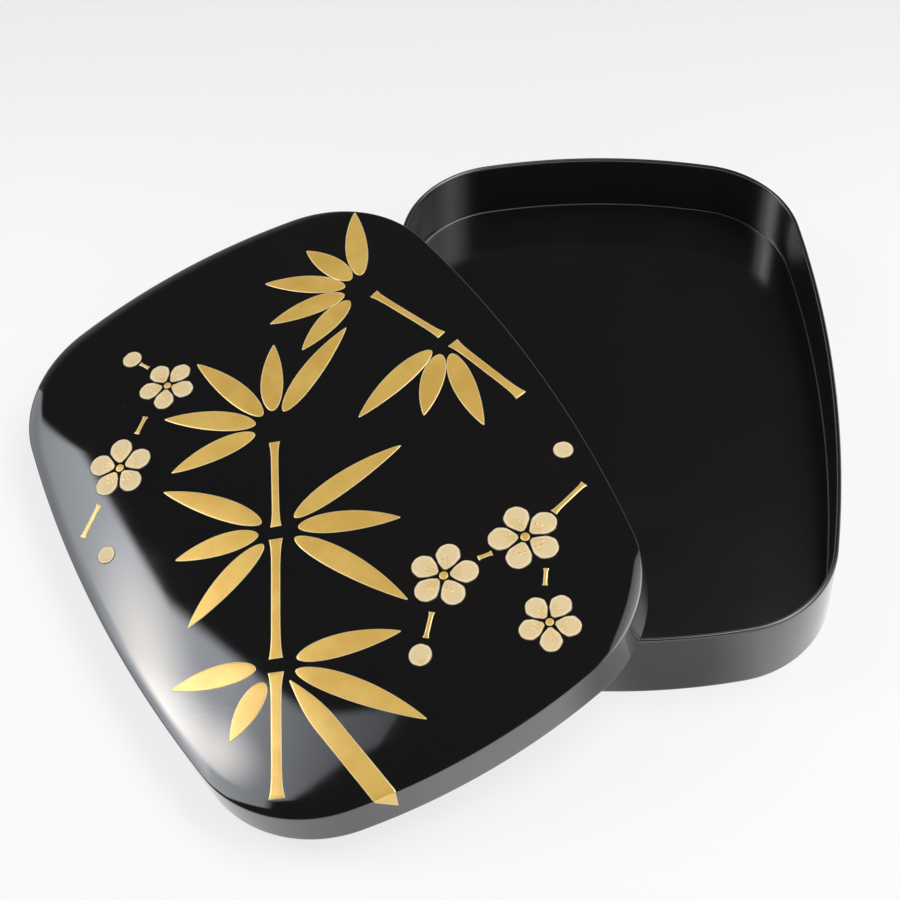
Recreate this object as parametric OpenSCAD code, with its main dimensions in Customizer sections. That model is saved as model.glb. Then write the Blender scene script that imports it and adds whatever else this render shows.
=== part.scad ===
// Writing box in black lacquer: an open tray, and a lid with bulged sides and a
// domed top that fits over it. The lid is off, leaning with its left edge on the
// table and its right side across the tray's rim.
// Millimetres, +Z up. The table is z = 0, and the origin is the middle of the
// footprint of the two pieces as they lie.

/* [Tray] */
// Half of the tray's width, measured across the middle
half_width = 93; // [85:1:100]
// Half of the tray's length, measured along the middle
half_length = 129.5; // [120:0.5:140]
// Height of the tray, table to rim
tray_height = 34.5; // [30:0.5:40]
// Thickness of the tray's side wall
wall = 2; // [1.6:0.1:3]
// Radius of the corners in plan
corner_radius = 46; // [40:1:52]
// Radius of the bulge of the two long sides
long_side_radius = 540; // [450:10:700]
// Radius of the bulge of the two short sides
short_side_radius = 252; // [220:2:300]
// Height of the floor's upper face above the table
floor_level = 7; // [6:0.5:9]
// Thickness of the floor board
floor_board = 4.2; // [3:0.1:4.6]
// Width of the foot that runs round under the floor board
foot_width = 7; // [5:0.5:12]
// Radius of the cove between floor and wall
cove = 1.4; // [0.8:0.1:2.5]

/* [Lid] */
// How far the lid's outline stands outside the tray's, all round
lid_overhang = 6; // [5:0.5:8]
// Height of the lid's side band, edge to ridge
lid_side = 18; // [14:0.5:20]
// Thickness of the lid's side band
band = 3.8; // [3:0.1:4.5]
// Thickness of the domed top board
top_board = 3.3; // [2.5:0.1:4]
// Rise of the dome above the ridge
dome_rise = 9; // [5:0.5:12]
// Fullness of the dome: 2 is a plain bowl, more is flatter with rounder shoulders
dome_fullness = 2.2; // [2:0.1:3]
// Rounding of the band's lower edge
edge_round = 0.9; // [0.4:0.1:1.4]

/* [Lean of the lid] */
// Turn of the lid about X, Y and Z, in degrees
lid_turn = [-0.65, -11.3, 28.1]; // [-30:0.05:30]
// Place of the middle of the lid's lower edge, measured from the tray's middle
lid_at = [-112.2, -57.7, 19.9]; // [-150:0.1:50]

/* [Raised decoration] */
// Height of the raised gold
gold_relief = 0.25; // [0.15:0.05:0.5]
// Height of the raised blossoms
blossom_relief = 0.4; // [0.2:0.05:0.8]
// Outer radius of a large blossom
blossom_radius = 14.5; // [12:0.5:15]
// Widest part of a bamboo leaf
leaf_width = 9; // [7:0.5:10]
// How far the leaves stand off from the joint that they spread from
leaf_start = 8; // [7:0.5:9]

/* [Hidden] */

lacquer = [0.03, 0.03, 0.035];
gold = [0.82, 0.68, 0.33];
cream = [0.93, 0.84, 0.68];

// Steps of the outline's arcs
side_steps = 8;
end_steps = 8;
corner_steps = 10;
// Rings of the dome, and its flat cap's share of the outline
dome_rings = 8;
cap_share = 0.12;
// Steps of a rounded edge
round_steps = 4;
// Steps along a bamboo leaf and along a stem
leaf_steps = 12;
stem_steps = 7;
// Room under a raised shape, so that its flat underside doesn't cut the domed top
bed = 0.045;
// Height of the seat between band and top board
seat = lid_side - top_board;

// ---- Outline: four bulged sides joined by four corner arcs, all tangent ----

side_centre = [half_width - long_side_radius, 0];
end_centre = [0, half_length - short_side_radius];

function meeting_point(c1, r1, c2, r2) =
    let (v = c2 - c1, d = norm(v),
         along = (r1 * r1 - r2 * r2 + d * d) / (2 * d),
         off = sqrt(r1 * r1 - along * along),
         foot = c1 + v * along / d,
         n = [-v[1], v[0]] / d,
         p = foot + n * off, q = foot - n * off)
    p[0] + p[1] > q[0] + q[1] ? p : q;

corner_centre = meeting_point(side_centre, long_side_radius - corner_radius,
    end_centre, short_side_radius - corner_radius);
side_turn = atan2(corner_centre[1], corner_centre[0] - side_centre[0]);
end_turn = atan2(corner_centre[1] - end_centre[1], corner_centre[0]);

left_corner = [-corner_centre[0], corner_centre[1]];

// Each arc: centre, radius, first angle, last angle, steps
half_round = [
    [side_centre, long_side_radius, -side_turn, side_turn, side_steps],
    [corner_centre, corner_radius, side_turn, end_turn, corner_steps],
    [end_centre, short_side_radius, end_turn, 180 - end_turn, end_steps],
    [left_corner, corner_radius, 180 - end_turn, 180 - side_turn, corner_steps]
];
arcs = concat(half_round, [for (a = half_round) [-a[0], a[1], a[2] + 180, a[3] + 180, a[4]]]);

// The tray's outline moved outwards by grow, as a list of points
function outline(grow) = [
    for (arc = arcs) for (i = [0 : arc[4] - 1])
        let (turn = arc[2] + (arc[3] - arc[2]) * i / arc[4])
        arc[0] + (arc[1] + grow) * [cos(turn), sin(turn)]
];

// One level ring: the outline moved outwards by grow, drawn in to a share of its size
function ring(grow, z, share = 1) = [for (p = outline(grow)) [p[0] * share, p[1] * share, z]];

// A solid skinned over rings that run up its outside. A closed one runs on from the last
// ring back to the first.
module skinned(rings, closed = false) {
    n = len(rings[0]);
    last = len(rings) - 1;
    walls = [
        for (k = [0 : closed ? last : last - 1]) for (i = [0 : n - 1])
            let (a = k * n, b = (k < last ? k + 1 : 0) * n, j = (i + 1) % n)
            each [[a + i, b + i, b + j], [a + i, b + j, a + j]]
    ];
    caps = closed ? [] : [[for (i = [0 : n - 1]) i], [for (i = [n - 1 : -1 : 0]) last * n + i]];
    polyhedron(points = [for (r = rings) for (p = r) p], faces = concat(walls, caps));
}

// ---- The dome of the lid ----

function dome(share) = dome_rise * (1 - pow(share, dome_fullness));
dome_shares = [for (i = [0 : dome_rings]) cap_share + (1 - cap_share) * i / dome_rings];

// Rings of the dome from its cap out to the ridge, for an outline grown by grow
function dome_skin(grow, base) = [for (s = dome_shares) ring(grow, base + dome(s), s)];
function reversed(list) = [for (i = [len(list) - 1 : -1 : 0]) list[i]];

// ---- Places of the two pieces ----

function turned(p) =
    let (a = lid_turn,
         x = [p[0], p[1] * cos(a[0]) - p[2] * sin(a[0]), p[1] * sin(a[0]) + p[2] * cos(a[0])],
         y = [x[0] * cos(a[1]) + x[2] * sin(a[1]), x[1], x[2] * cos(a[1]) - x[0] * sin(a[1])])
    [y[0] * cos(a[2]) - y[1] * sin(a[2]), y[0] * sin(a[2]) + y[1] * cos(a[2]), y[2]];

footprint = concat(ring(0, 0), [
    for (z = [edge_round, lid_side]) for (p = ring(lid_overhang, z)) turned(p) + lid_at
]);
middle = [
    (min([for (p = footprint) p[0]]) + max([for (p = footprint) p[0]])) / 2,
    (min([for (p = footprint) p[1]]) + max([for (p = footprint) p[1]])) / 2,
    0
];

module on_table() translate(-middle) children();
module leaning() translate(lid_at - middle) rotate(lid_turn) children();

// ---- Tray ----

lip = wall / 2;

// Side wall, round at the rim and eased at the foot
module tray_wall() {
    ease = 0.4;
    rim = [for (i = [0 : 2 * round_steps])
        let (turn = 90 * i / round_steps)
        ring(lip * cos(turn) - lip, tray_height - lip + lip * sin(turn))];
    color(lacquer) on_table() skinned(concat(
        [ring(-ease, 0), ring(0, ease)], rim, [ring(-wall, 0)]), closed = true);
}

// Foot: a flat ring glued inside the wall, which carries the floor board
module tray_foot() {
    top = floor_level - floor_board;
    color(lacquer) on_table() skinned([
        ring(-wall, 0), ring(-wall, top), ring(-wall - foot_width, top),
        ring(-wall - foot_width, 0)], closed = true);
}

// Floor board, with a small cove up to the wall
module tray_floor() {
    cove_rings = [for (i = [0 : round_steps])
        let (turn = 90 * i / round_steps)
        ring(-wall - cove + cove * cos(turn), floor_level + cove - cove * sin(turn))];
    color(lacquer) on_table() skinned(concat(
        [ring(-wall, floor_level - floor_board)], cove_rings));
}

// ---- Lid ----

// Side band, with a rounded lower edge
module lid_band() {
    inner = lid_overhang - band;
    outer_edge = [for (i = [0 : round_steps])
        let (turn = 90 * i / round_steps)
        ring(lid_overhang - edge_round + edge_round * sin(turn), edge_round - edge_round * cos(turn))];
    inner_edge = [for (i = [0 : round_steps])
        let (turn = 90 * i / round_steps)
        ring(inner + edge_round - edge_round * cos(turn), edge_round - edge_round * sin(turn))];
    color(lacquer) leaning() skinned(concat(
        outer_edge, [ring(lid_overhang, seat), ring(inner, seat)], inner_edge), closed = true);
}

// Top board: a dome that meets the side in a crisp ridge
module lid_top() {
    color(lacquer) leaning() skinned(concat(
        dome_skin(lid_overhang - band, seat), [ring(lid_overhang, seat)],
        reversed(dome_skin(lid_overhang, lid_side))));
}

// ---- Raised decoration: bamboo in gold and plum blossom in cream ----

// Where the long side and the short side of the lid's outline run into its corner
side_join = side_centre + (long_side_radius + lid_overhang) * [cos(side_turn), sin(side_turn)];
end_join = end_centre + (short_side_radius + lid_overhang) * [cos(end_turn), sin(end_turn)];

// Distance from the lid's middle to its outline, in the direction of a point
function reach(p) =
    let (turn = atan2(abs(p[1]), abs(p[0])),
         arc = turn < atan2(side_join[1], side_join[0]) ? [side_centre, long_side_radius] :
               turn > atan2(end_join[1], end_join[0]) ? [end_centre, short_side_radius] :
               [corner_centre, corner_radius],
         along = arc[0] * [cos(turn), sin(turn)])
    along + sqrt(along * along - arc[0] * arc[0] + pow(arc[1] + lid_overhang, 2));

// A point of the plan, lifted onto the dome
function on_dome(p) = [p[0], p[1], lid_side + dome(norm(p) / reach(p)) + bed];

function turned_flat(p, turn) = [p[0] * cos(turn) - p[1] * sin(turn), p[0] * sin(turn) + p[1] * cos(turn)];

// Shares from 0 to 1, closer together towards both ends
function stations(steps) = [for (i = [0 : steps]) (1 - cos(180 * i / steps)) / 2];

// One slice of a raised shape: its right and left foot on the ground, and how it stands off there
function slice(right, left, off) = [left, left + off, right + off, right];
function dome_slice(right, left, relief) = slice(on_dome(right), on_dome(left), [0, 0, relief]);

// Bamboo leaf: half its width and its bend sideways at a share of its length
function leaf_half(t) = 0.2 + leaf_width / 2 * pow(t, 0.6) * pow(1 - t, 0.9) / 0.364;
function leaf_bend(turn) = cos(turn) >= 0 ? -0.06 : 0.06;

module leaf(base, turn, length) skinned([
    for (t = stations(leaf_steps))
        let (at = [length * t, leaf_bend(turn) * length * t * t], side = [0, leaf_half(t)])
        dome_slice(base + turned_flat(at - side, turn), base + turned_flat(at + side, turn), gold_relief)
]);

// Leaves that spread round one joint of the stem, set off from it and of uneven length
module fan(joint, first, last, count, length) {
    for (i = [0 : count - 1]) {
        turn = first + (last - first) * i / (count - 1);
        leaf(joint + turned_flat([leaf_start, 0], turn), turn, length * (0.86 + 0.14 * cos(150 * i)));
    }
}

// Stem or twig from one point to another, thicker at its joints
function stem_half(t, width) = width / 2 * (0.8 + 0.45 * pow(abs(2 * t - 1), 6));

module stem(from, to, width) {
    run = to - from;
    turn = atan2(run[1], run[0]);
    skinned([for (t = stations(stem_steps))
        let (at = [norm(run) * t, 0], side = [0, stem_half(t, width)])
        dome_slice(from + turned_flat(at - side, turn), from + turned_flat(at + side, turn), gold_relief)]);
}

// Petal: half its width at a share of its length, narrow at the heart and round outside
petal_stations = [0.02, 0.2, 0.42, 0.64, 0.84, 0.96];
function petal_half(t) = 0.37 * sqrt(1 - pow(2 * t - 1, 2)) * (0.5 + 0.5 * sin(90 * min(t / 0.7, 1)));

module petal(heart, turn, radius) skinned([
    for (t = petal_stations)
        let (at = [radius * (0.16 + 0.84 * t), 0], side = [0, radius * petal_half(t)])
        dome_slice(heart + turned_flat(at - side, turn), heart + turned_flat(at + side, turn), blossom_relief)
]);

module blossom(heart, turn, radius) {
    for (i = [0 : 4]) petal(heart, turn + 72 * i, radius);
}

module bud(heart, radius) {
    steps = 6;
    skinned([for (i = [0 : steps])
        let (turn = 172 * i / steps + 4, at = [-radius * cos(turn), 0], side = [0, radius * sin(turn)])
        dome_slice(heart + at - side, heart + at + side, blossom_relief)]);
}

module near_bamboo() {
    stem([-72, -112], [-50, -68], 5);
    stem([-47.5, -63], [-25, -17], 4.4);
    stem([-22.5, -12], [-6, 24], 3.6);
    fan([-3, 31], 34, 170, 5, 46);
    fan([-22.5, -14], -60, 10, 3, 54);
    fan([-22.5, -14], 122, 196, 3, 46);
    fan([-48.5, -65.5], -50, -14, 2, 54);
    fan([-48.5, -65.5], 155, 208, 2, 34);
}

module far_bamboo() {
    stem([87, -10], [76.5, 28], 4.2);
    stem([74.5, 34], [61, 69], 3.4);
    fan([58.5, 74], 72, 200, 5, 38);
    fan([75, 31], 196, 258, 3, 42);
}

module twigs() {
    stem([87, -60], [70.5, -66], 2.4);
    stem([42, -69.5], [36.5, -68.7], 2);
    stem([11, -79], [4, -87], 2);
    stem([52, -92], [56, -86], 1.8);
    stem([-90, 34], [-78, 43], 2.4);
    stem([-51.5, 63.5], [-45, 69], 2);
    stem([-36, 96.5], [-34, 92], 1.6);
}

module gold_bamboo_near() color(gold) leaning() near_bamboo();
module gold_bamboo_far() color(gold) leaning() far_bamboo();
module gold_twigs() color(gold) leaning() twigs();

// A leaf that runs over the ridge at the near end and ends on the side
module gold_leaf_over_ridge() {
    start = [-47, -74];
    over_x = -38;
    half_over = 4.3;
    tip = 0.3;
    drop = 10;
    edge_radius = short_side_radius + lid_overhang;
    function near_edge(x) = [x, -end_centre[1] - sqrt(edge_radius * edge_radius - x * x)];
    over = near_edge(over_x);
    out = (over + end_centre) / norm(over + end_centre);
    function foot(x, z, rise) = let (p = near_edge(x) + out * bed) [p[0], p[1], z + rise * bed];
    function side_slice(half, z, rise) = slice(
        foot(over_x - half, z, rise), foot(over_x + half, z, rise), [out[0], out[1], rise] * gold_relief);
    run = over - start;
    turn = atan2(run[1], run[0]);
    top_shares = [0, 0.05, 0.12, 0.24, 0.4, 0.56, 0.72, 0.88];
    side_shares = [0.08, 0.4, 0.75, 1];
    color(gold) leaning() skinned(concat(
        [for (t = top_shares)
            let (at = [norm(run) * t, 0], side = [0, tip + (half_over - tip) * sin(min(90, 230 * t))])
            dome_slice(start + turned_flat(at - side, turn), start + turned_flat(at + side, turn), gold_relief)],
        [side_slice(half_over, lid_side, 1)],
        [for (t = side_shares) side_slice(half_over * (1.05 - t), lid_side - drop * t, 0)]));
}

// Each blossom: heart, turn and radius against a large one
near_blossoms = [[[56, -70], 10, 1], [[22, -68], 50, 0.95], [[46, -106], 28, 0.85]];
far_blossoms = [[[-64, 53], 62, 0.95], [[-31, 78], 20, 0.85]];
// Each bud: heart and radius
buds = [[[-1, -92], 4.5], [[88, -42], 4], [[-38, 101], 4.2], [[-85, 20], 3.8]];

module blossoms_near() color(cream) leaning() {
    for (b = near_blossoms) blossom(b[0], b[1], b[2] * blossom_radius);
}

module blossoms_far() color(cream) leaning() {
    for (b = far_blossoms) blossom(b[0], b[1], b[2] * blossom_radius);
}

module plum_buds() color(cream) leaning() {
    for (b = buds) bud(b[0], b[1]);
}

tray_wall();
tray_foot();
tray_floor();
lid_band();
lid_top();
gold_bamboo_near();
gold_bamboo_far();
gold_twigs();
gold_leaf_over_ridge();
blossoms_near();
blossoms_far();
plum_buds();
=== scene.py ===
"""Writing box in black lacquer: an open tray with bulged sides, and its domed lid leaning on it.

The lid carries bamboo in gold and plum blossom in cream, raised a little above the lacquer.
Lengths are in metres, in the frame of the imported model: +Z up and the table at z = 0.
"""

import math
from collections import namedtuple

import bmesh
import bpy
from bpy.props import FloatProperty, FloatVectorProperty, PointerProperty
from bpy.types import Operator, Panel, PropertyGroup
from mathutils import Euler, Matrix, Vector


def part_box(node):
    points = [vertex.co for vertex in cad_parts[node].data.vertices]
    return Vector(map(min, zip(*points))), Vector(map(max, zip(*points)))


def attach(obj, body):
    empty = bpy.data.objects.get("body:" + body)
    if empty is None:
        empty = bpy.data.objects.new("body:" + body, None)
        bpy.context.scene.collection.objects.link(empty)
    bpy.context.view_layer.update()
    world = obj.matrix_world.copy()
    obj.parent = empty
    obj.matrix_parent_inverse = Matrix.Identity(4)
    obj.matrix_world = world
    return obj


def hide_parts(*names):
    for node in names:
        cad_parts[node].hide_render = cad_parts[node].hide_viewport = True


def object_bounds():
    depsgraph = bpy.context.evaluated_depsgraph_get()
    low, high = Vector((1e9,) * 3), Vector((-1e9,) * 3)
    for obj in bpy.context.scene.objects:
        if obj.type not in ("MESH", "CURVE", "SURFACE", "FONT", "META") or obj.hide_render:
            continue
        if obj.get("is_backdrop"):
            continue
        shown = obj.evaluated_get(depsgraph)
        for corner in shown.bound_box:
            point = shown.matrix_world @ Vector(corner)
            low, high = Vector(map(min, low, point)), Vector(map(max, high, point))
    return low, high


bl_info = {
    "name": "Lacquer writing box",
    "version": (1, 0, 0),
    "blender": (4, 5, 0),
    "location": "View3D > Sidebar > Writing Box",
    "description": "Builds a lacquer writing box, open, with its decorated lid leaning on the tray",
    "category": "Object",
}

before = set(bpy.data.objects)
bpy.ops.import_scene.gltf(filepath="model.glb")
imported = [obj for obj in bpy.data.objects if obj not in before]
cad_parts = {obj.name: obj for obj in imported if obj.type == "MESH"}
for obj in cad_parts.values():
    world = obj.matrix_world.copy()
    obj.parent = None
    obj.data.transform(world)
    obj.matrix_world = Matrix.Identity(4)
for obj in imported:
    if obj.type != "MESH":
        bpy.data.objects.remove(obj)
CAD_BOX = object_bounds()
MM = 0.001

TRAY_LOW, TRAY_HIGH = (Vector(corner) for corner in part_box("tray_wall"))
TRAY_MIDDLE = Vector(((TRAY_LOW.x + TRAY_HIGH.x) / 2, (TRAY_LOW.y + TRAY_HIGH.y) / 2, 0.0))

# Vertices closer than this are one, and edges that turn more than this stay sharp
WELD = 0.001 * MM
SHARP = math.radians(42)


# ---- Settings ----

def length(name, description, value):
    """A property in metres, given in millimetres."""
    return FloatProperty(
        name=name, description=description, default=value * MM, subtype="DISTANCE", unit="LENGTH",
        precision=5)


def share(name, description, value):
    return FloatProperty(
        name=name, description=description, default=value, min=0.0, max=1.0, subtype="FACTOR")


def angle(name, description, degrees):
    return FloatProperty(
        name=name, description=description, default=math.radians(degrees), subtype="ANGLE", unit="ROTATION")


def colour(name, description, value):
    """A colour property, as linear red, green and blue."""
    return FloatVectorProperty(
        name=name, description=description, default=value, size=3, min=0.0, max=1.0, subtype="COLOR")


def radiance(name, description, value):
    """Brightness of a light's face, where 1 shows as white."""
    return FloatProperty(name=name, description=description, default=value, min=0.0)


class TraySizes(PropertyGroup):
    """Sizes of the tray. The outline is the frame's, from the box of its wall."""

    half_width: length(
        "Half width", "Half of the tray across its middle", (TRAY_HIGH.x - TRAY_LOW.x) / 2 / MM)
    half_length: length(
        "Half length", "Half of the tray along its middle", (TRAY_HIGH.y - TRAY_LOW.y) / 2 / MM)
    height: length("Height", "Table to rim", TRAY_HIGH.z / MM)
    wall: length("Wall", "Thickness of the side wall", 2)
    corner_radius: length("Corner radius", "Radius of the corners in plan", 46)
    long_side_radius: length("Long side radius", "Radius of the bulge of the long sides", 540)
    short_side_radius: length("Short side radius", "Radius of the bulge of the short sides", 252)
    floor_level: length("Floor level", "Height of the floor's upper face", 7)
    floor_board: length("Floor board", "Thickness of the floor board", 4.2)
    foot_width: length("Foot width", "Width of the foot under the floor board", 7)
    cove: length("Cove", "Radius of the cove between floor and wall", 0.4)
    edge_ease: length("Edge ease", "Rounding of the edges that stand on the table", 0.4)


class LidSizes(PropertyGroup):
    """Sizes and lean of the lid."""

    overhang: length("Overhang", "How far the lid's outline stands outside the tray's", 6)
    side: length("Side", "Height of the side band, edge to ridge", 18)
    band: length("Band", "Thickness of the side band", 3.8)
    top_board: length("Top board", "Thickness of the domed top board", 3.3)
    dome_rise: length("Dome rise", "Rise of the dome above the ridge", 9)
    dome_fullness: FloatProperty(
        name="Dome fullness", description="2 is a plain bowl, more is flatter", default=2.2)
    shoulder: share("Shoulder", "Outer part of the dome that rolls down more steeply to the ridge", 0.05)
    shoulder_rise: length("Shoulder rise", "How much of the dome's rise is in its shoulder", 0.32)
    edge_round: length("Edge round", "Rounding of the band's lower edge", 0.9)
    ridge_round: length("Ridge round", "Rounding of the ridge between side and dome", 0.25)
    inner_round: length("Inner round", "Rounding inside, between band and top board", 1.2)
    turn: FloatVectorProperty(
        name="Turn", description="Lean and turn of the lid", subtype="EULER", unit="ROTATION",
        default=tuple(math.radians(degrees) for degrees in (-0.65, -11.3, 28.1)))
    at: FloatVectorProperty(
        name="Place", description="Middle of the lid's lower edge, from the tray's middle",
        subtype="TRANSLATION", unit="LENGTH", default=tuple(place * MM for place in (-112.2, -57.7, 19.9)))


class DecorationSizes(PropertyGroup):
    """Sizes of the raised bamboo and blossoms."""

    gold_relief: length("Gold relief", "Height of the raised gold", 0.18)
    blossom_relief: length("Blossom relief", "Height of the raised petals", 0.32)
    blossom_radius: length("Blossom radius", "Outer radius of a large blossom", 14.5)
    leaf_width: length("Leaf width", "Widest part of a bamboo leaf", 9)
    leaf_start: length("Leaf start", "How far the leaves stand off from their joint", 8)
    edge_soft: length("Soft edge", "Width over which a raised shape rises from its edge", 0.45)
    edge_step: length("Edge step", "Height of a raised shape at its very edge", 0.07)
    root: length("Root", "How deep a raised shape is set into the lacquer", 0.12)


class Finishes(PropertyGroup):
    """Colours of the finishes, and how much they are worn."""

    lacquer: colour("Lacquer", "Black lacquer", (0.0066, 0.0066, 0.0070))
    lacquer_warm: colour("Warm lacquer", "The lacquer where it is thinnest", (0.0088, 0.0074, 0.0068))
    lacquer_worn: colour("Worn lacquer", "Edges rubbed down to the brown ground", (0.060, 0.017, 0.009))
    dust: colour("Dust", "Dust lying on the lacquer", (0.28, 0.27, 0.26))
    gold: colour("Gold", "Gold powder in lacquer", (0.96, 0.635, 0.155))
    gold_deep: colour("Deep gold", "Where the powder lies thinner", (0.85, 0.52, 0.11))
    # Painted highlight: a paler gold painted along the edges of the gold shapes and on specks of its grain,
    # where they would catch the light
    gold_painted_highlight: colour("Light gold", "The polished edge of the gold", (0.97, 0.80, 0.42))
    cream: colour("Cream", "Petals", (0.79, 0.62, 0.345))
    cream_peach: colour("Peach", "The tint inside the petals", (0.78, 0.50, 0.225))
    cream_light: colour("Light cream", "The edge of the petals", (0.87, 0.74, 0.48))
    line: colour("Line", "The fine dark outline of the petals", (0.045, 0.020, 0.010))
    wear: share("Wear", "Wear of the edges", 0.55)
    scratches: share("Scratches", "Fine scratches in the gloss", 0.5)


class Studio(PropertyGroup):
    """Camera, lamps and table."""

    camera_at: FloatVectorProperty(
        name="Camera", description="Place of the camera", subtype="TRANSLATION", unit="LENGTH",
        default=(0.02372, -0.56402, 0.73568))
    camera_yaw: angle("Yaw", "Turn of the camera to the left", 1.5247)
    camera_pitch: angle("Pitch", "How far the camera looks down", 51.2909)
    camera_roll: angle("Roll", "Roll of the camera", -1.3287)
    lens: FloatProperty(
        name="Lens", description="Focal length on a 36 mm wide sensor", default=89.97, unit="CAMERA")
    table_white: colour("Table", "White table", (0.93, 0.93, 0.93))
    # Painted shade: the table is greyed towards the back, as the light falls off
    table_painted_falloff: colour("Far table", "The table behind the box", (0.84, 0.835, 0.83))
    table_glow: share("Table glow", "How far the table is shown white whatever falls on it", 0.75)
    key_radiance: radiance("Key", "Brightness of the tall light at the left", 3.6)
    key_column: radiance("Key column", "Extra brightness of the upright streak in its middle", 4.6)
    key_band: radiance("Key band", "Extra brightness of the level band low in its middle", 4.3)
    key_warm: colour("Key band's tint", "Tint of the band and the streak", (1.0, 0.955, 0.91))
    key_cool: colour("Key's tint", "Tint of the rest of the tall light", (0.89, 0.93, 1.0))
    top_radiance: radiance("Top", "Brightness of the large light overhead at the right", 4.9)
    side_radiance: radiance("Side", "Brightness of the light at the right of the camera", 4.0)
    room_radiance: radiance("Room", "Brightness of the wall behind the camera", 1.5)


# ---- Outline: four bulged sides joined by four corner arcs, all tangent ----

Arc = namedtuple("Arc", "centre radius start turn steps")
SIDE_STEPS, END_STEPS, CORNER_STEPS = 36, 32, 30


def meeting_point(first, first_radius, second, second_radius):
    """The outer one of the two points where two circles cross."""
    gap = second - first
    along = (first_radius ** 2 - second_radius ** 2 + gap.length_squared) / (2 * gap.length)
    aside = math.sqrt(first_radius ** 2 - along ** 2)
    foot = first + gap.normalized() * along
    side = Vector((-gap.y, gap.x)).normalized() * aside
    return max(foot + side, foot - side, key=lambda point: point.x + point.y)


def outline_arcs(tray):
    """The eight arcs of the tray's outline, in order, starting with the right long side."""
    side = Vector((tray.half_width - tray.long_side_radius, 0.0))
    end = Vector((0.0, tray.half_length - tray.short_side_radius))
    corner = meeting_point(
        side, tray.long_side_radius - tray.corner_radius, end, tray.short_side_radius - tray.corner_radius)
    side_turn = math.atan2(corner.y, corner.x - side.x)
    end_turn = math.atan2(corner.y - end.y, corner.x)
    corner_turn = end_turn - side_turn
    left_corner = Vector((-corner.x, corner.y))
    half_round = [
        Arc(side, tray.long_side_radius, -side_turn, 2 * side_turn, SIDE_STEPS),
        Arc(corner, tray.corner_radius, side_turn, corner_turn, CORNER_STEPS),
        Arc(end, tray.short_side_radius, end_turn, math.pi - 2 * end_turn, END_STEPS),
        Arc(left_corner, tray.corner_radius, math.pi - end_turn, corner_turn, CORNER_STEPS),
    ]
    return half_round + [arc._replace(centre=-arc.centre, start=arc.start + math.pi) for arc in half_round]


def direction(turn):
    return Vector((math.cos(turn), math.sin(turn)))


class Dome:
    """The lid's domed face: how high it stands above any point of the plan."""

    def __init__(self, tray, lid):
        self.side, self.corner, self.end = outline_arcs(tray)[:3]
        self.overhang = lid.overhang
        self.lid = lid
        self.side_join = self.join_turn(self.side, self.side.start + self.side.turn)
        self.end_join = self.join_turn(self.end, self.end.start)

    def join_turn(self, arc, turn):
        """The direction from the lid's middle in which one arc of the outline runs into the next."""
        point = arc.centre + direction(turn) * (arc.radius + self.overhang)
        return math.atan2(point.y, point.x)

    def reach(self, x, y):
        """Distance from the lid's middle to its outline, in the direction of a point."""
        turn = math.atan2(abs(y), abs(x))
        arc = self.side if turn < self.side_join else self.end if turn > self.end_join else self.corner
        along = arc.centre.dot(direction(turn))
        return along + math.sqrt(along ** 2 - arc.centre.length_squared + (arc.radius + self.overhang) ** 2)

    def height(self, x, y):
        return self.lid.side + dome_rise(self.lid, math.hypot(x, y) / self.reach(x, y))


def dome_rise(lid, out):
    """Rise of the dome above the ridge, at a share of the way out from its middle."""
    roll = max(0.0, (out - 1) / lid.shoulder + 1)
    bowl = (lid.dome_rise - lid.shoulder_rise) * (1 - out ** lid.dome_fullness)
    return bowl + lid.shoulder_rise * (1 - roll ** 2)


def lid_place(lid):
    """Where the lid lies: a turn about its own middle, then a move to its place."""
    return Matrix.Translation(TRAY_MIDDLE + Vector(lid.at)) @ Euler(lid.turn, "XYZ").to_matrix().to_4x4()


# ---- Modelling ----

def rounded(grow, z, radius, first, last, steps=6):
    """Points of a wall's section round a centre, from one angle to another, in degrees."""
    turns = [math.radians(first + (last - first) * step / steps) for step in range(steps + 1)]
    return [(grow + radius * math.cos(turn), z + radius * math.sin(turn)) for turn in turns]


def sweep(bm, arcs, section, closed):
    """Spins a section, drawn as points of growth and height, round the eight arcs of the outline."""
    outward = direction(arcs[0].start)
    verts = []
    for grow, z in section:
        foot = arcs[0].centre + outward * (arcs[0].radius + grow)
        verts.append(bm.verts.new((foot.x, foot.y, z)))
    pairs = list(zip(verts, verts[1:])) + ([(verts[-1], verts[0])] if closed else [])
    live = verts + [bm.edges.new(pair) for pair in pairs]
    for arc in arcs:
        spun = bmesh.ops.spin(
            bm, geom=live, cent=arc.centre.to_3d(), axis=(0, 0, 1), angle=arc.turn, steps=arc.steps)
        live = spun["geom_last"]
    bmesh.ops.remove_doubles(bm, verts=bm.verts[:], dist=WELD)


def level_edges(bm, z):
    """The open edges at one height."""
    open_edges = (edge for edge in bm.edges if edge.is_boundary)
    return [edge for edge in open_edges if all(abs(vert.co.z - z) < WELD for vert in edge.verts)]


# Rings in the dome's shoulder, and the size of the last ring as a share of a step
SHOULDER_RINGS, LAST_RING = 8, 0.4


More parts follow.
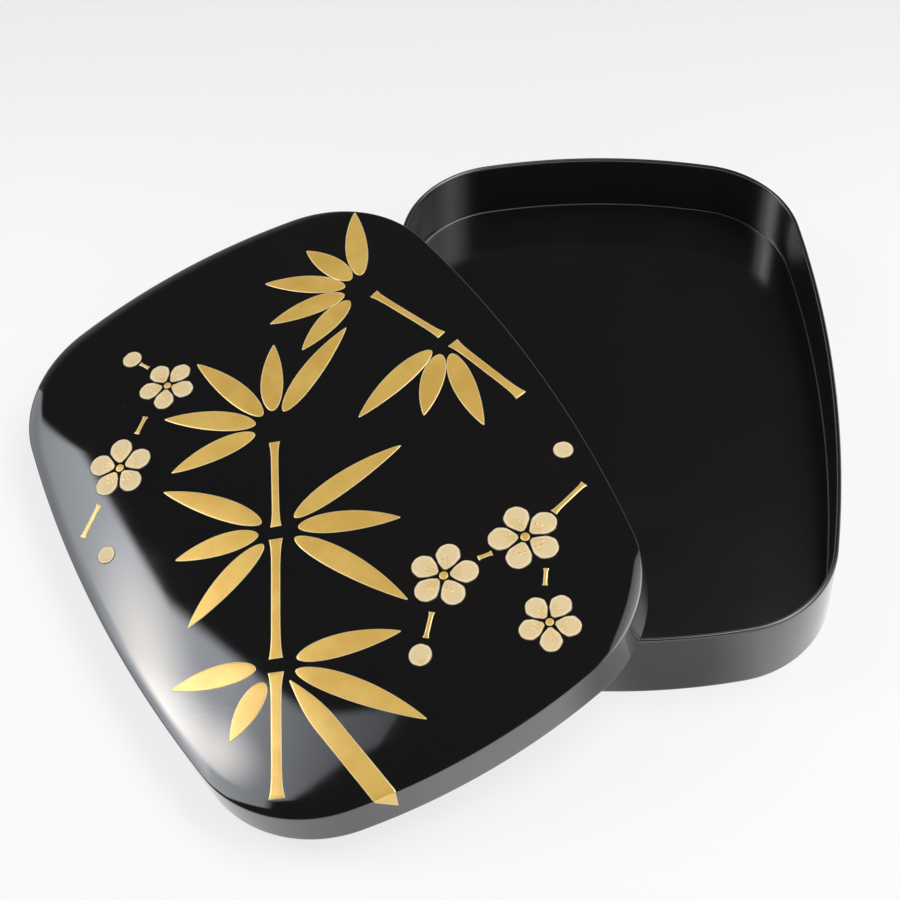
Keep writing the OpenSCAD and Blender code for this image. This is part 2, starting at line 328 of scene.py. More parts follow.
def raise_dome(bm, rim, base, lid, rings):
    """Extrudes a ring of the outline inwards and upwards, step by step, and closes it at the top."""
    ring, last = rim, 1.0
    edge_shares = [1 - lid.shoulder * step / SHOULDER_RINGS for step in range(1, SHOULDER_RINGS + 1)]
    inner_shares = [(1 - step / rings) * edge_shares[-1] for step in range(1, rings)]
    shares = edge_shares + inner_shares + [LAST_RING / rings]
    for now in shares:
        grown = bmesh.ops.extrude_edge_only(bm, edges=ring)["geom"]
        verts = [part for part in grown if isinstance(part, bmesh.types.BMVert)]
        ring = [part for part in grown if isinstance(part, bmesh.types.BMEdge) and part.is_boundary]
        bmesh.ops.scale(bm, vec=(now / last, now / last, 1), verts=verts)
        lift = dome_rise(lid, now) - dome_rise(lid, last)
        bmesh.ops.translate(bm, vec=(0, 0, lift), verts=verts)
        last = now
    cap = bmesh.ops.extrude_edge_only(bm, edges=ring)["geom"]
    verts = [part for part in cap if isinstance(part, bmesh.types.BMVert)]
    bmesh.ops.pointmerge(bm, verts=verts, merge_co=(0, 0, base + lid.dome_rise))


def round_edges(bm, edges, radius, steps):
    bmesh.ops.bevel(
        bm, geom=edges, offset=radius, offset_type="OFFSET", segments=steps, profile=0.5, affect="EDGES",
        material=-1, loop_slide=True, clamp_overlap=True)


def mark_edges(bm, is_edge, amount=1.0):
    """Stores how much they are rubbed on the vertices of the edges, for the wear in the finish."""
    edge = bm.verts.layers.float.new("edge")
    for vert in bm.verts:
        vert[edge] = amount if is_edge(vert.co) else 0.0


def make_piece(bm, name, material, body, slot, *nodes):
    """Makes a bmesh a piece of the box that rides on a body and stands for the frame's nodes."""
    bmesh.ops.recalc_face_normals(bm, faces=bm.faces[:])
    mesh = bpy.data.meshes.new(name)
    bm.to_mesh(mesh)
    bm.free()
    mesh.shade_smooth()
    mesh.set_sharp_from_angle(angle=SHARP)
    mesh.materials.append(material)
    piece = bpy.data.objects.new(name, mesh)
    bpy.context.scene.collection.objects.link(piece)
    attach(piece, body)
    if nodes:
        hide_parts(*nodes)


# ---- Raised shapes: a grid drawn out to the shape's plan and laid on the dome ----

# Distances in millimetres from the edge of a raised shape at which its surface has vertices
EDGE_COLUMNS = (0.0, 0.08, 0.2, 0.35, 0.55)


class Relief:
    """Lays raised shapes on the lid's dome and collects them in one bmesh."""

    def __init__(self, settings):
        self.bm = bmesh.new()
        self.dome = Dome(settings.box_tray, settings.box_lid)
        self.place = lid_place(settings.box_lid)
        self.sizes = settings.box_decoration
        self.rim = self.bm.verts.layers.float.new("rim")
        self.along = self.bm.verts.layers.float.new("along")
        self.across = self.bm.verts.layers.float.new("across")

    def swell(self, inset, relief):
        """Height of a raised shape at a distance from its edge."""
        rise = min(max(inset / self.sizes.edge_soft, 0.0), 1.0)
        return self.sizes.edge_step + (relief - self.sizes.edge_step) * math.sin(rise * math.pi / 2)

    def on_dome(self, x, y, height):
        return Vector((x, y, self.dome.height(x, y) + height))

    def inset(self, column, half):
        """How far a column of a shape lies from its edge; the outer ones stay close to it."""
        outer = len(EDGE_COLUMNS)
        if column < outer:
            return min(EDGE_COLUMNS[column] * MM, half * column / (outer + 1))
        return half if column > outer else (half + self.inset(outer - 1, half)) / 2

    def shape(self, at, turn, run, line, relief, rows, ground=0.0, lay=None, shares=None):
        """One shape: line(t) gives how far along, how far aside and how wide it is at a share t.

        Its rows lie at the given shares of its length, or closest together at its two ends.
        """
        lay = lay or self.on_dome
        columns = 2 * len(EDGE_COLUMNS) + 2
        grid = bmesh.ops.create_grid(self.bm, x_segments=rows, y_segments=columns, size=0.5)
        ways = Matrix.Rotation(turn, 2)
        feet = {}
        for vert in grid["verts"]:
            row = (vert.co.x + 0.5) * rows
            t = shares[round(row)] if shares else (1 - math.cos(math.pi * row / rows)) / 2
            column = round((vert.co.y + 0.5) * columns)
            along, aside, half = line(t)
            inset = self.inset(min(column, columns - column), half)
            off = math.copysign(half - inset, vert.co.y)
            plan = Vector(at) + ways @ Vector((along, aside + off))
            inset = min(inset, run * t, run * (1 - t))
            vert[self.rim] = min(inset / MM, 2.0)
            vert[self.along] = t
            vert[self.across] = off / MM
            vert.co = lay(plan.x, plan.y, ground + self.swell(inset, relief))
            feet[vert] = lay(plan.x, plan.y, ground - self.sizes.root)
        faces = list({face for vert in grid["verts"] for face in vert.link_faces})
        below = bmesh.ops.extrude_face_region(self.bm, geom=faces, use_keep_orig=True)["geom"]
        tops = list(feet)
        sunk = [part for part in below if isinstance(part, bmesh.types.BMVert)]
        for top, foot in zip(sorted(tops, key=position), sorted(sunk, key=position)):
            foot.co = feet[top]
        bmesh.ops.remove_doubles(self.bm, verts=tops, dist=WELD)
        bmesh.ops.remove_doubles(self.bm, verts=sunk, dist=WELD)

    def leaf(self, at, turn, run, width, bend):
        """A bamboo leaf, broad near its foot and drawn out to a long point."""
        tip, curve_top = 0.2 * MM, 0.364  # the curve's greatest value, at a share of 0.4

        def line(t):
            half = tip + width / 2 * t ** 0.6 * (1 - t) ** 0.9 / curve_top
            return run * t, bend * run * t * t, half
        self.shape(at, turn, run, line, self.sizes.gold_relief, rows=26)

    def stem(self, start, stop, width):
        """A stem or twig, thicker at its joints."""
        way = Vector(stop) - Vector(start)
        run = way.length
        waist, flare = 0.8, 0.45  # as shares of its width

        def line(t):
            return run * t, 0.0, width / 2 * (waist + flare * abs(2 * t - 1) ** 6)
        self.shape(start, math.atan2(way.y, way.x), run, line, self.sizes.gold_relief, rows=22)

    def fan(self, joint, first, last, count, run):
        """Leaves that spread round one joint of the stem, set off from it and of uneven length."""
        droop, uneven = 0.06, 0.14
        for number in range(count):
            turn = math.radians(first + (last - first) * number / (count - 1))
            bend = -droop if math.cos(turn) >= 0 else droop
            own_run = run * (0.86 + uneven * math.cos(math.radians(150 * number)))
            start = Vector(joint) + direction(turn) * self.sizes.leaf_start
            self.leaf(start, turn, own_run, self.sizes.leaf_width, bend)

    def petal(self, heart, turn, radius):
        """A plum petal, narrow at the heart and round outside, with a slightly uneven edge."""
        foot, run, half_width, uneven = 0.17, 0.81, 0.365, 0.02  # as shares of the blossom's radius

        def line(t):
            round_end = math.sqrt(max(0.0, 1 - (2 * t - 1) ** 2))
            body = round_end * (0.5 + 0.5 * math.sin(math.pi / 2 * min(t / 0.7, 1)))
            wave = 1 + uneven * math.sin(19 * t + 5 * turn)
            return radius * (foot + run * t), 0.0, radius * half_width * body * wave
        self.shape(heart, turn, radius, line, self.sizes.blossom_relief, rows=22)

    def button(self, at, turn, radius, relief, rows, ground=0.0):
        """A round bud, heart or tip."""
        def line(t):
            return -radius * (1 - 2 * t), 0.0, radius * 2 * math.sqrt(max(0.0, t * (1 - t)))
        self.shape(at, turn, 2 * radius, line, relief, rows=rows, ground=ground)

    def finish(self, name, material, slot, *nodes):
        """Makes the shapes one piece, where the lid lies."""
        bmesh.ops.transform(self.bm, matrix=self.place, verts=self.bm.verts[:])
        make_piece(self.bm, name, material, "lid", slot, *nodes)


def position(vert):
    return tuple(round(value / WELD) for value in vert.co) + (vert.index,)


def at_mm(*places):
    """A place in the plan of the lid, given in millimetres."""
    return Vector(places) * MM


# ---- Finishes ----

def fill(tree, node, inputs):
    """Links a node's inputs to sockets, or sets them to values."""
    for name, value in inputs.items():
        if isinstance(value, bpy.types.NodeSocket):
            tree.links.new(value, node.inputs[name])
        else:
            node.inputs[name].default_value = value
    return node


def place_node(tree, kind, inputs=None, **settings):
    """Adds a node, with its settings, and fills its inputs."""
    node = tree.nodes.new(kind)
    for name, value in settings.items():
        setattr(node, name, value)
    return fill(tree, node, inputs or {})


def maths(tree, operation, *values, clamp=False):
    return place_node(
        tree, "ShaderNodeMath", dict(enumerate(values)), operation=operation, use_clamp=clamp).outputs[0]


def mixed(tree, amount, first, second):
    """Blends two colours; each is a socket or three numbers."""
    def full(value):
        return value if isinstance(value, bpy.types.NodeSocket) else (*value, 1.0)
    return place_node(
        tree, "ShaderNodeMix", {0: amount, 6: full(first), 7: full(second)}, data_type="RGBA").outputs[2]


def spread(tree, value, low, high, to_low=0.0, to_high=1.0):
    """Maps a value from one range to another, smoothly, and keeps it inside."""
    return place_node(
        tree, "ShaderNodeMapRange",
        {"Value": value, "From Min": low, "From Max": high, "To Min": to_low, "To Max": to_high},
        interpolation_type="SMOOTHSTEP").outputs[0]


Spot = namedtuple("Spot", "middle reach")


def off_centre(tree, across, up, spot):
    """Distance from a spot's middle, as a share of its reach across and up."""
    squares = [
        maths(tree, "POWER", maths(tree, "ABSOLUTE", maths(
            tree, "DIVIDE", maths(tree, "SUBTRACT", value, spot.middle[way]), spot.reach[way])), 2.0)
        for way, value in enumerate((across, up))]
    return maths(tree, "SQRT", maths(tree, "ADD", *squares))


def noise(tree, vector, per_metre, detail=2.0, rough=0.5):
    return place_node(
        tree, "ShaderNodeTexNoise",
        {"Vector": vector, "Scale": per_metre, "Detail": detail, "Roughness": rough}).outputs["Fac"]


def new_group(name, inputs, outputs):
    """A shader node group with named sockets: (name, kind, default) each."""
    tree = bpy.data.node_groups.new(name, "ShaderNodeTree")
    for way, sockets in (("INPUT", inputs), ("OUTPUT", outputs)):
        for label, kind, default in sockets:
            socket = tree.interface.new_socket(name=label, in_out=way, socket_type=kind)
            if default is not None:
                socket.default_value = default
    entry = tree.nodes.new("NodeGroupInput")
    leave = tree.nodes.new("NodeGroupOutput")
    return tree, entry.outputs, leave.inputs


# Ways in which the finest scratches run: their turn, and how far they are drawn out
SCRATCH_WAYS = ((0.5, 14.0), (1.7, 20.0), (2.6, 11.0))


def polish_group():
    """Hand-rubbed gloss: faint waves, fine scratches that run many ways, and a few specks of dust."""
    tree, given, out = new_group(
        "hand_rubbed_gloss",
        [("Vector", "NodeSocketVector", None), ("Gloss", "NodeSocketFloat", 0.06),
         ("Scratches", "NodeSocketFloat", 0.5)],
        [("Roughness", "NodeSocketFloat", None), ("Height", "NodeSocketFloat", None),
         ("Dust", "NodeSocketFloat", None)])
    lines = None
    for turn, stretch in SCRATCH_WAYS:
        ways = place_node(
            tree, "ShaderNodeMapping",
            {"Vector": given["Vector"], "Rotation": (0.0, 0.0, turn), "Scale": (stretch, 1.0, 1.0)})
        fibres = noise(tree, ways.outputs[0], 90.0, 3.0, 0.6)
        from_line = maths(tree, "ABSOLUTE", maths(tree, "SUBTRACT", fibres, 0.5))
        thin = spread(tree, from_line, 0.0, 0.012, 1.0, 0.0)
        patch = spread(tree, noise(tree, given["Vector"], 23.0 + stretch), 0.52, 0.66)
        kept = maths(tree, "MULTIPLY", thin, patch)
        lines = kept if lines is None else maths(tree, "MAXIMUM", lines, kept)
    lines = maths(tree, "MULTIPLY", lines, given["Scratches"])
    cloud = spread(tree, noise(tree, given["Vector"], 38.0, 4.0, 0.6), 0.35, 0.75, -0.012, 0.03)
    cells = place_node(
        tree, "ShaderNodeTexVoronoi", {"Vector": given["Vector"], "Scale": 160.0, "Randomness": 1.0})
    rare = maths(tree, "GREATER_THAN", place_node(
        tree, "ShaderNodeSeparateColor", {"Color": cells.outputs["Color"]}).outputs[0], 0.93)
    speck = maths(tree, "MULTIPLY", rare, spread(tree, cells.outputs["Distance"], 0.0, 0.055, 1.0, 0.0))
    clear = maths(tree, "ADD", given["Gloss"], cloud)
    scratched = maths(tree, "ADD", clear, maths(tree, "MULTIPLY", lines, 0.10))
    rough = maths(tree, "ADD", scratched, maths(tree, "MULTIPLY", speck, 0.4), clamp=True)
    tree.links.new(rough, out["Roughness"])
    wave = maths(tree, "MULTIPLY", noise(tree, given["Vector"], 17.0, 1.0), 0.12)
    tree.links.new(maths(tree, "SUBTRACT", wave, maths(tree, "MULTIPLY", lines, 0.0006)), out["Height"])
    tree.links.new(speck, out["Dust"])
    return tree


def wear_group():
    """Edges rubbed through: strongest on the marked edge, and broken up along it."""
    tree, given, out = new_group(
        "rubbed_edge",
        [("Vector", "NodeSocketVector", None), ("Edge", "NodeSocketFloat", 0.0),
         ("Amount", "NodeSocketFloat", 0.8)],
        [("Mask", "NodeSocketFloat", None)])
    long_runs = spread(tree, noise(tree, given["Vector"], 14.0, 2.0), 0.44, 0.60)
    breaks = spread(tree, noise(tree, given["Vector"], 210.0, 3.0), 0.40, 0.62, 0.35, 1.0)
    edge = spread(tree, given["Edge"], 0.35, 0.95)
    worn = maths(tree, "MULTIPLY", maths(tree, "MULTIPLY", edge, long_runs), breaks)
    tree.links.new(maths(tree, "MULTIPLY", worn, given["Amount"], clamp=True), out["Mask"])
    return tree


def grain_group():
    """Gold powder: a fine grain, which the gold also uses for painted glints, and soft clouds where it lies
    thicker or thinner.
    """
    tree, given, out = new_group(
        "powder_grain",
        [("Vector", "NodeSocketVector", None)],
        [("Cloud", "NodeSocketFloat", None), ("Grain", "NodeSocketFloat", None)])
    tree.links.new(spread(tree, noise(tree, given["Vector"], 60.0, 3.0), 0.35, 0.65), out["Cloud"])
    tree.links.new(noise(tree, given["Vector"], 2600.0, 2.0, 0.7), out["Grain"])
    return tree


def linked_group(tree, group, inputs):
    return place_node(tree, "ShaderNodeGroup", inputs, node_tree=group).outputs


def bump(tree, height, strength, depth):
    """Fine relief in the surface, from a height of 0 to 1 and a depth in metres."""
    return place_node(
        tree, "ShaderNodeBump", {"Height": height, "Strength": strength, "Distance": depth}).outputs[0]


def new_material(name):
    """An empty material with its shader: the material, its node tree, and the shader."""
    material = bpy.data.materials.new(name)
    material.use_nodes = True
    tree = material.node_tree
    tree.nodes.clear()
    shader = tree.nodes.new("ShaderNodeBsdfPrincipled")
    result = tree.nodes.new("ShaderNodeOutputMaterial")
    tree.links.new(shader.outputs["BSDF"], result.inputs["Surface"])
    return material, tree, shader


def own_place(tree, place=None):
    """Coordinates on the piece; with a place, in the piece's own level frame."""
    flat = place_node(tree, "ShaderNodeTexCoord").outputs["Object"]
    if place is None:
        return flat
    back = place.inverted()
    return place_node(
        tree, "ShaderNodeMapping",
        {"Vector": flat, "Rotation": tuple(back.to_euler()), "Location": tuple(back.translation)},
        ).outputs[0]


def hairline(tree, where, start, stop):
    """A fine scratch between two places in plan: 1 on it and 0 off it."""
    way = stop - start
    turned = place_node(
        tree, "ShaderNodeMapping",
        {"Vector": where, "Rotation": (0.0, 0.0, -math.atan2(way.y, way.x)),
         "Location": (-start.dot(way) / way.length, start.cross(way) / way.length, 0.0)}).outputs[0]
    spot = place_node(tree, "ShaderNodeSeparateXYZ", {"Vector": turned}).outputs
    wander = maths(tree, "MULTIPLY", maths(tree, "SUBTRACT", noise(tree, where, 45.0), 0.5), 2.0 * MM)
    aside = maths(tree, "ABSOLUTE", maths(tree, "ADD", spot["Y"], wander))
    from_middle = maths(tree, "ABSOLUTE", maths(tree, "SUBTRACT", spot["X"], way.length / 2))
    ends = spread(tree, from_middle, 0.3 * way.length, 0.5 * way.length, 1.0, 0.0)
    return maths(tree, "MULTIPLY", ends, spread(tree, aside, 0.07 * MM, 0.19 * MM, 1.0, 0.0))


def attribute(tree, name):
    return place_node(tree, "ShaderNodeAttribute", attribute_name=name).outputs["Fac"]


def lacquer_material(
        name, finishes, groups, place=None, gloss=0.05, coat=1.0, coat_rough=0.03, hairlines=()):
    """Black lacquer: a rubbed ground under a clear last coat."""
    material, tree, shader = new_material(name)
    where = own_place(tree, place)
    polish = linked_group(
        tree, groups["polish"], {"Vector": where, "Gloss": gloss, "Scratches": finishes.scratches})
    worn = linked_group(
        tree, groups["wear"],
        {"Vector": where, "Edge": attribute(tree, "edge"), "Amount": finishes.wear})["Mask"]
    warm = spread(tree, noise(tree, where, 9.0, 3.0), 0.42, 0.75)
    ground = mixed(tree, warm, finishes.lacquer, finishes.lacquer_warm)
    rubbed = mixed(tree, worn, ground, finishes.lacquer_worn)
    marks = polish["Dust"]
    for start, stop in hairlines:
        scratch = hairline(tree, where, at_mm(*start), at_mm(*stop))
        marks = maths(tree, "MAXIMUM", marks, maths(tree, "MULTIPLY", scratch, 0.35))
    dusty = mixed(tree, maths(tree, "MULTIPLY", marks, 0.5), rubbed, finishes.dust)
    fill(tree, shader, {
        "Base Color": dusty, "Normal": bump(tree, polish["Height"], 1.0, 0.35 * MM),
        "Roughness": maths(tree, "ADD", polish["Roughness"], maths(tree, "MULTIPLY", worn, 0.2)),
        "IOR": 1.5, "Coat Weight": coat, "Coat Roughness": coat_rough, "Coat IOR": 1.6})
    return material


def gold_material(name, finishes, groups, place):
    material, tree, shader = new_material(name)
    where = own_place(tree, place)
    grain = linked_group(tree, groups["grain"], {"Vector": where})
    ground = mixed(tree, grain["Cloud"], finishes.gold, finishes.gold_deep)
    # Painted glints: specks of the fine grain painted in a paler gold
    painted_glint = spread(tree, grain["Grain"], 0.62, 0.80, 0.0, 0.45)
    bright = mixed(tree, painted_glint, ground, finishes.gold_painted_highlight)
    tip = spread(tree, attribute(tree, "along"), 0.35, 1.0, 0.0, 0.55)
    toned = mixed(tree, tip, bright, finishes.gold_deep)
    # Painted highlight: a paler band painted along the edge of each gold shape, where its rounded edge would
    # catch the light
    edge = spread(tree, attribute(tree, "rim"), 0.15, 0.50, 0.75, 0.0)
    fill(tree, shader, {
        "Base Color": mixed(tree, edge, toned, finishes.gold_painted_highlight),
        "Roughness": spread(tree, grain["Grain"], 0.3, 0.7, 0.29, 0.39),
        "Normal": bump(tree, grain["Grain"], 0.35, 0.03 * MM),
        "Metallic": 0.35, "Coat Weight": 0.8, "Coat Roughness": 0.10})
    return material


def cream_material(name, finishes, groups, place):
    material, tree, shader = new_material(name)
    where = own_place(tree, place)
    mottle = spread(tree, noise(tree, where, 170.0, 3.0, 0.55), 0.35, 0.70)
    heartward = spread(tree, attribute(tree, "along"), 0.05, 0.8, 1.0, 0.15)
    ground = mixed(tree, maths(tree, "MULTIPLY", mottle, heartward), finishes.cream, finishes.cream_peach)
    margin = spread(tree, attribute(tree, "rim"), 0.5, 1.6, 0.85, 0.0)
    edged = mixed(tree, margin, ground, finishes.cream_light)
    outline = spread(tree, attribute(tree, "rim"), 0.22, 0.36, 0.92, 0.0)
    grain = linked_group(tree, groups["grain"], {"Vector": where})
    fill(tree, shader, {
        "Base Color": mixed(tree, outline, edged, finishes.line),
        "Roughness": spread(tree, grain["Grain"], 0.3, 0.7, 0.38, 0.55),
        "Normal": bump(tree, grain["Grain"], 0.3, 0.03 * MM)})
    return material


# Painted shades in the table's glow, which only the lacquer's reflections show: spots close in front of the
# tray and of the lid, and how dark
PAINTED_MIRRORED_SHADES = (
    (Spot((0.098, -0.108), (0.046, 0.036)), 0.36),
    (Spot((-0.06, -0.19), (0.10, 0.08)), 0.66))


def table_material(studio):
    """White table, with a painted shade that greys it towards the back. Part of its white is shown as it is,
    so shadows stay faint.
    """
    material, tree, shader = new_material("white_table")
    where = own_place(tree)
    at = place_node(tree, "ShaderNodeSeparateXYZ", {"Vector": where}).outputs
    # Painted shade: greyer towards the back as the light falls off, in the table's colour and in its glow
    # alike
    far = spread(tree, at["Y"], 0.05, 0.40)
    fill(tree, shader, {
        "Base Color": mixed(tree, far, studio.table_white, studio.table_painted_falloff),
        "Roughness": 0.75, "Specular IOR Level": 0.2})
    ray = place_node(tree, "ShaderNodeLightPath").outputs
    # Painted shade: darker spots in what the lacquer reflects of the table, in front of the tray and of the
    # lid
    painted_reflection_shade = 1.0
    for spot, dark in PAINTED_MIRRORED_SHADES:
        shade = spread(tree, off_centre(tree, at["X"], at["Y"], spot), 0.3, 1.0, dark, 1.0)
        painted_reflection_shade = maths(tree, "MULTIPLY", painted_reflection_shade, shade)
    strength = maths(tree, "MAXIMUM", ray["Is Camera Ray"], painted_reflection_shade)
    glow = place_node(
        tree, "ShaderNodeEmission",
        {"Color": mixed(tree, far, (1.0, 1.0, 1.0), studio.table_painted_falloff), "Strength": strength})
    through = maths(tree, "MAXIMUM", ray["Is Glossy Ray"], ray["Is Transmission Ray"])
    seen = maths(tree, "MAXIMUM", ray["Is Camera Ray"], through)
    shown = maths(tree, "MULTIPLY", seen, studio.table_glow)
    result = next(node for node in tree.nodes if node.type == "OUTPUT_MATERIAL")
    lit = result.inputs["Surface"].links[0].from_socket
    both = place_node(tree, "ShaderNodeMixShader", {0: shown, 1: lit, 2: glow.outputs[0]})
    tree.links.new(both.outputs[0], result.inputs["Surface"])
    return material


# Two fine scratches in the lid, from one place in its plan to another, in millimetres
LID_HAIRLINES = (((-96, -47), (-54, -87)), ((-90, -62), (-77, -68)))


def finish_set(settings):
    """All finishes, made once and kept by name."""
    place = lid_place(settings.box_lid)
    kinds = {
        "gloss_lacquer_lid": (lacquer_material, {"place": place, "hairlines": LID_HAIRLINES}),
        "gloss_lacquer_tray": (lacquer_material, {"gloss": 0.18, "coat_rough": 0.16}),
        "satin_lacquer_foot": (lacquer_material, {"gloss": 0.28, "coat": 0.0}),
        "gold_powder": (gold_material, {"place": place}),
        "cream_lacquer": (cream_material, {"place": place})}
    made = {name: bpy.data.materials.get(name) for name in kinds}
    if all(made.values()):
        return made
    groups = {"polish": polish_group(), "wear": wear_group(), "grain": grain_group()}
    return {name: make(name, settings.box_finishes, groups, **own) for name, (make, own) in kinds.items()}


# ---- Operators ----

def make_tray_piece(scene, bm, name, finish, node, is_edge, amount=1.0):
    """Marks a swept piece's worn edges, or on the floor a brownish line along the cove, moves it from the
    middle to the tray and dresses it.
    """
    mark_edges(bm, is_edge, amount)
    bmesh.ops.translate(bm, vec=TRAY_MIDDLE, verts=bm.verts[:])
    make_piece(bm, name, finish_set(scene)[finish], "tray", "black_lacquer", node)


class BOX_OT_tray_wall(Operator):
    """Side wall of the tray, round at the rim"""

    bl_idname = "writing_box.tray_wall"
    bl_label = "Tray wall"

    def execute(self, context):
        tray = context.scene.box_tray
        lip, ease, hold = tray.wall / 2, tray.edge_ease, 1.0 * MM
        rim_level = tray.height - lip
        section = (
            rounded(-ease, ease, ease, -90, 0, 3)
            + [(0, ease + hold), (0, rim_level - hold)]
            + rounded(-lip, rim_level, lip, 0, 180, 14)
            + [(-tray.wall, rim_level - hold), (-tray.wall, 0)])
        bm = bmesh.new()
        sweep(bm, outline_arcs(tray), section, closed=True)
        make_tray_piece(
            context.scene, bm, "lacquer_tray_wall", "gloss_lacquer_tray", "tray_wall",
            lambda co: co.z > tray.height - 0.45 * lip, amount=0.5)
        return {"FINISHED"}


class BOX_OT_tray_floor(Operator):
    """Floor board of the tray, with a small cove up to the wall"""

    bl_idname = "writing_box.tray_floor"
    bl_label = "Tray floor"

    def execute(self, context):
        tray = context.scene.box_tray
        under = tray.floor_level - tray.floor_board
        cove_at = tray.floor_level + tray.cove
        hold = 1.5 * MM
        section = (
            [(-tray.wall - hold, under), (-tray.wall, under)]
            + rounded(-tray.wall - tray.cove, cove_at, tray.cove, 0, -90)
            + [(-tray.wall - tray.cove - hold, tray.floor_level)])
        bm = bmesh.new()
        sweep(bm, outline_arcs(tray), section, closed=False)
        for level in (under, tray.floor_level):
            bmesh.ops.contextual_create(bm, geom=level_edges(bm, level))
        # Along the middle of the far side the cove is marked as well, which draws a broken brownish line
        # where the floor meets the wall
        make_tray_piece(
            context.scene, bm, "lacquer_tray_floor", "gloss_lacquer_tray", "tray_floor",
            lambda co: tray.floor_level + WELD < co.z < cove_at - WELD and (
                co.y > tray.half_length / 2 and abs(co.x) < tray.half_width / 2))
        return {"FINISHED"}


class BOX_OT_tray_foot(Operator):
    """Foot ring that carries the floor board"""

    bl_idname = "writing_box.tray_foot"
    bl_label = "Tray foot"

    def execute(self, context):
        tray = context.scene.box_tray
        top = tray.floor_level - tray.floor_board
        inner = -tray.wall - tray.foot_width
        ease = tray.edge_ease
        section = (
            [(-tray.wall, 0), (-tray.wall, top), (inner, top)]
            + rounded(inner + ease, ease, ease, 180, 270, 3))
        bm = bmesh.new()
        sweep(bm, outline_arcs(tray), section, closed=True)
        make_tray_piece(
            context.scene, bm, "lacquer_tray_foot", "satin_lacquer_foot", "tray_foot", lambda co: co.z < ease)
        return {"FINISHED"}


class BOX_OT_lid(Operator):
    """Lid in one lacquered skin: side band, crisp ridge and domed top"""

    bl_idname = "writing_box.lid"
    bl_label = "Lid"

    def execute(self, context):
        tray, lid = context.scene.box_tray, context.scene.box_lid
        seat = lid.side - lid.top_board
        inner = lid.overhang - lid.band
        turn_in, hold = lid.edge_round, 1.0 * MM
        section = (
            [(lid.overhang, lid.side), (lid.overhang, lid.side - hold), (lid.overhang, turn_in + hold)]
            + rounded(lid.overhang - turn_in, turn_in, turn_in, 0, -90)
            + rounded(inner + turn_in, turn_in, turn_in, -90, -180)
            + [(inner, turn_in + hold), (inner, seat - 2 * hold), (inner, seat)])
        bm = bmesh.new()
        sweep(bm, outline_arcs(tray), section, closed=False)
        ridge = level_edges(bm, lid.side)
        corner = level_edges(bm, seat)
        raise_dome(bm, ridge, lid.side, lid, rings=44)
        raise_dome(bm, corner, seat, lid, rings=24)
        round_edges(bm, ridge, lid.ridge_round, 5)
        round_edges(bm, corner, lid.inner_round, 4)
        near_ridge = 0.6 * lid.ridge_round
        outside = Dome(tray, lid)
        mark_edges(bm, lambda co: abs(co.z - lid.side) < near_ridge and (
            math.hypot(co.x, co.y) > outside.reach(co.x, co.y) - 2 * near_ridge))
        bmesh.ops.transform(bm, matrix=lid_place(lid), verts=bm.verts[:])
        material = finish_set(context.scene)["gloss_lacquer_lid"]
        make_piece(bm, "lacquer_lid", material, "lid", "black_lacquer", "lid_band", "lid_top")
        return {"FINISHED"}


class BOX_OT_bamboo(Operator):
    """Bamboo in raised gold, in two groups, and the small plum twigs"""

    bl_idname = "writing_box.bamboo"
    bl_label = "Gold bamboo"

    # Places are in the lid's plan; they, the widths and the lengths are in millimetres.
    # A stem has its start, end and width; a fan has its joint, the directions of its first and last
    # leaf in degrees, their number and their length.
    groups = (
        ("near_bamboo", "gold_bamboo_near",
         (((-72, -112), (-50, -68), 5), ((-47.5, -63), (-25, -17), 4.4), ((-22.5, -12), (-6, 24), 3.6)),
         (((-3, 31), 34, 170, 5, 46), ((-22.5, -14), -60, 10, 3, 54), ((-22.5, -14), 122, 196, 3, 46),
          ((-48.5, -65.5), -50, -14, 2, 54), ((-48.5, -65.5), 155, 208, 2, 34))),
        ("far_bamboo", "gold_bamboo_far",
         (((87, -10), (76.5, 28), 4.2), ((74.5, 34), (61, 69), 3.4)),
         (((58.5, 74), 72, 200, 5, 38), ((75, 31), 196, 258, 3, 42))),
        ("plum_twigs", "gold_twigs",
         (((87, -60), (70.5, -66), 2.4), ((42, -69.5), (36.5, -68.7), 2), ((11, -79), (4, -87), 2),
          ((52, -92), (56, -86), 1.8), ((-90, 34), (-78, 43), 2.4), ((-51.5, 63.5), (-45, 69), 2),
          ((-36, 96.5), (-34, 92), 1.6)),
         ()))

    def execute(self, context):
        material = finish_set(context.scene)["gold_powder"]
        for name, node, stems, fans in self.groups:
            relief = Relief(context.scene)
            for start, stop, width in stems:
                relief.stem(at_mm(*start), at_mm(*stop), width * MM)
            for joint, first, last, count, run in fans:
                relief.fan(at_mm(*joint), first, last, count, run * MM)
            relief.finish(name, material, "gold", node)
        return {"FINISHED"}


